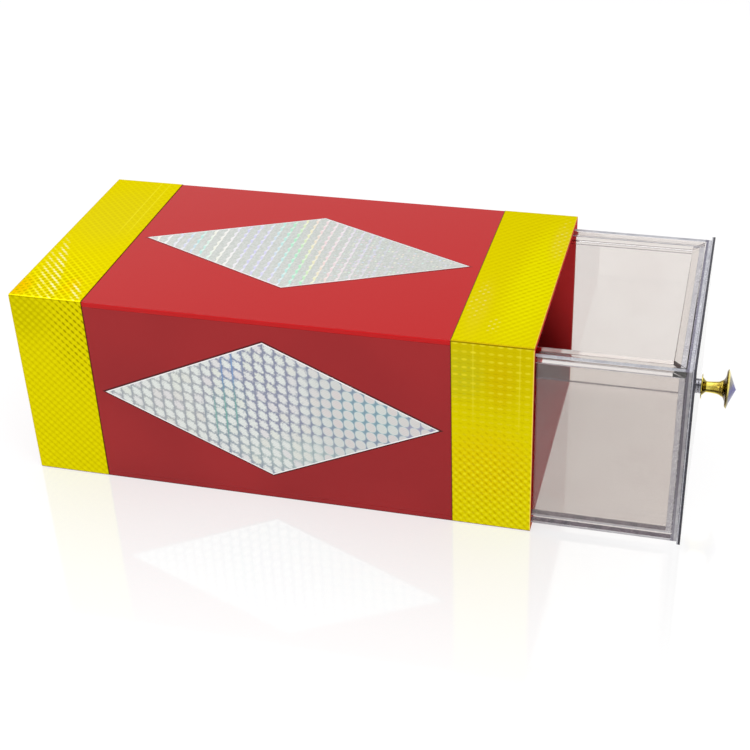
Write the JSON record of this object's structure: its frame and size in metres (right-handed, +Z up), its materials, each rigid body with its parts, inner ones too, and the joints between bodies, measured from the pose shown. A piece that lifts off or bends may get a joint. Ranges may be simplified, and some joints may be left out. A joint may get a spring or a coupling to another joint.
{
  "type": "magic drawer box",
  "caption": "Red sleeve with gold foil bands and silver diamonds; clear nested drawers slide out by a gilt knob, and a rear catch holds the inner one back.",
  "frame": {"origin": "middle of the sleeve's underside, on the surface it stands on", "axes": "+X along the box to the mouth, +Y away from the audience, +Z up"},
  "size_m": [0.3992, 0.1526, 0.1157],
  "materials": {
    "red_sheet": "glossy red sheet",
    "gold_foil": "gold foil with a fine pressed lattice",
    "silver_foil": "silver foil with a fine pressed lattice",
    "clear_sheet": "clear polished sheet",
    "gilt": "polished gilt",
    "chrome": "polished",
    "crystal": "facet cut, foiled back",
    "brass": "turned",
    "steel": "plain"
  },
  "bodies": {
    "sleeve": {"sleeve_top": "red_sheet", "sleeve_bottom": "red_sheet", "sleeve_near_side": "red_sheet", "sleeve_far_side": "red_sheet", "sleeve_closed_end": "red_sheet", "foil_band_mouth": "gold_foil", "foil_band_closed_end": "gold_foil", "diamond_near": "silver_foil", "diamond_far": "silver_foil", "diamond_top": "silver_foil", "catch_bush": "brass"},
    "catch": {"catch_spindle": "steel", "catch_bar": "brass", "catch_thumb_turn": "brass"},
    "inner_drawer": {"inner_near_wall": "clear_sheet", "inner_far_wall": "clear_sheet", "inner_front_wall": "clear_sheet", "inner_back_wall": "clear_sheet", "inner_floor": "clear_sheet", "rim_near": "clear_sheet", "rim_far": "clear_sheet", "rim_front": "clear_sheet", "rim_back": "clear_sheet"},
    "outer_drawer": {"drawer_near_wall": "clear_sheet", "drawer_far_wall": "clear_sheet", "drawer_front_wall": "clear_sheet", "drawer_floor": "clear_sheet", "front_plate": "clear_sheet", "knob_post_ring": "chrome", "knob_body": "gilt", "knob_crystal": "crystal", "knob_screw": "steel"}
  },
  "joints": [
    {"name": "inner_slide", "type": "slide", "parent": "sleeve", "child": "inner_drawer", "axis": [1, 0, 0], "range_m": [-0.0773, 0.0627]},
    {"name": "outer_slide", "type": "slide", "parent": "inner_drawer", "child": "outer_drawer", "axis": [1, 0, 0], "range_m": [0, 0.114]},
    {"name": "catch_turn", "type": "hinge", "parent": "sleeve", "child": "catch", "pos_m": [-0.145, 0, 0.057], "axis": [1, 0, 0], "range_deg": [0, 90]}
  ]
}
